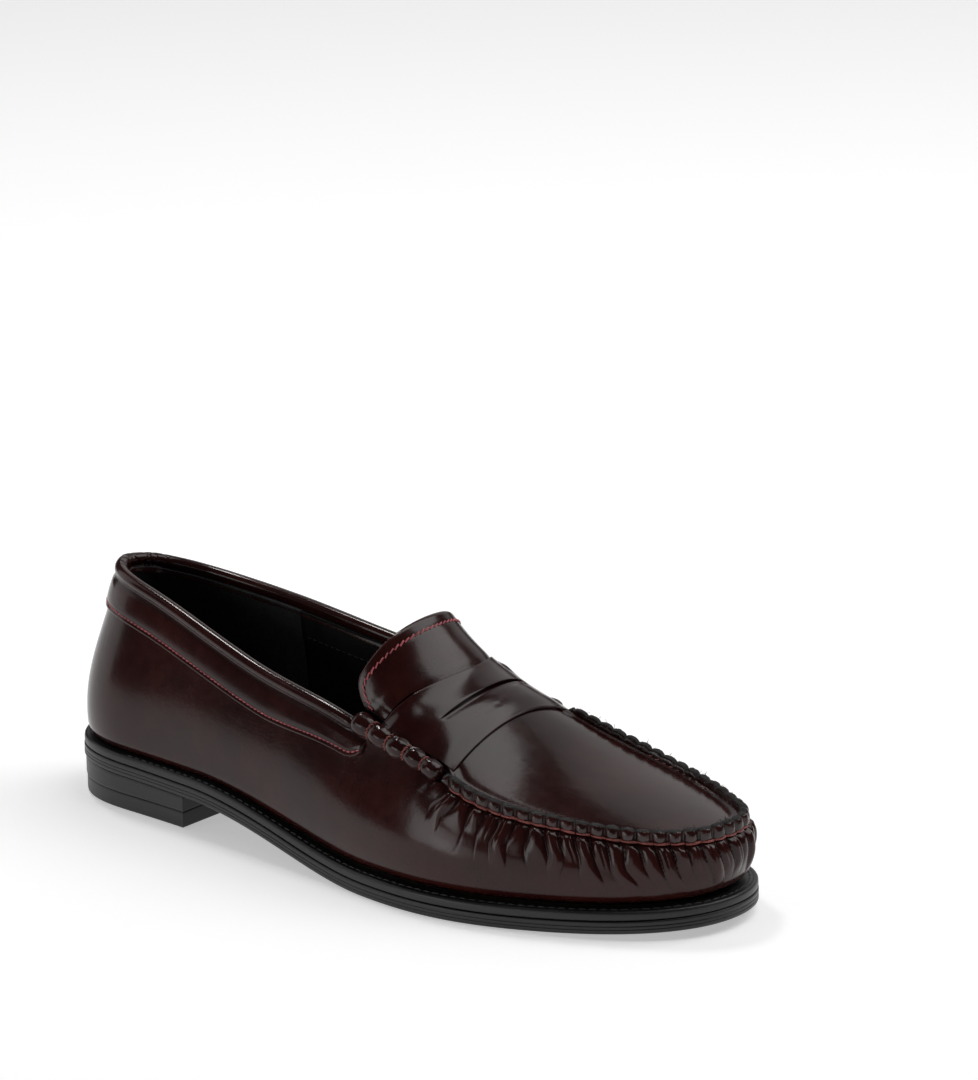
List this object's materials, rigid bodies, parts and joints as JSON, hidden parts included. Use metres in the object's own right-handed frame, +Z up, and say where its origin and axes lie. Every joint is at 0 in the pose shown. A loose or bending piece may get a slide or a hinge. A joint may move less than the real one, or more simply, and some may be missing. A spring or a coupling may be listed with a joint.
{
  "type": "penny loafer",
  "caption": "Slip-on moccasin-seamed leather shoe with a slotted saddle strap, beef rolls, padded collar, flexing tongue and low stacked rubber heel.",
  "frame": {"origin": "on the ground, under the middle of the box round the shoe", "axes": "+X to the toe, +Y to the medial side (the wearer's other foot), +Z up; a right shoe"},
  "size_m": [0.27, 0.0928, 0.0844],
  "materials": {
    "oxblood_leather": "polished smooth leather, near-black oxblood",
    "crimson_thread": "waxed twisted thread",
    "black_thread": "waxed twisted thread",
    "black_rubber": "satin moulded rubber",
    "black_lining": "smooth lining leather",
    "black_suede": "suede",
    "cork": "granulated cork",
    "fibreboard": "pressed fibreboard",
    "foam": "soft foam",
    "steel": "plain steel"
  },
  "bodies": {
    "root": {"wall": "oxblood_leather", "apron": "oxblood_leather", "strap": "oxblood_leather", "beef_roll_lateral": "oxblood_leather", "beef_roll_medial": "oxblood_leather", "collar_binding": "oxblood_leather", "collar_padding": "oxblood_leather", "back_tab": "oxblood_leather", "seam_ridge": "oxblood_leather", "seam_thread": "crimson_thread", "collar_thread": "crimson_thread", "roll_wraps_lateral": "crimson_thread", "roll_wraps_medial": "crimson_thread", "welt_thread": "black_thread", "outsole": "black_rubber", "welt": "black_rubber", "heel_block": "black_rubber", "top_lift": "black_rubber", "vamp_lining": "black_lining", "quarter_lining_lateral": "black_lining", "quarter_lining_medial": "black_lining", "apron_lining": "black_lining", "sock_liner": "black_lining", "heel_grip": "black_suede", "cork_filler": "cork", "insole_board": "fibreboard", "heel_counter": "fibreboard", "toe_puff": "fibreboard", "heel_pad": "foam", "shank": "steel", "heel_nails": "steel"},
    "tongue": {"tongue": "oxblood_leather", "tongue_lining": "black_lining", "tongue_thread": "crimson_thread"}
  },
  "joints": [
    {"name": "tongue_flex", "type": "hinge", "parent": "root", "child": "tongue", "pos_m": [0.0275, 0, 0.066], "axis": [0, 1, 0], "range_deg": [-5, 30], "stiffness_Nm_per_rad": 0.1}
  ]
}
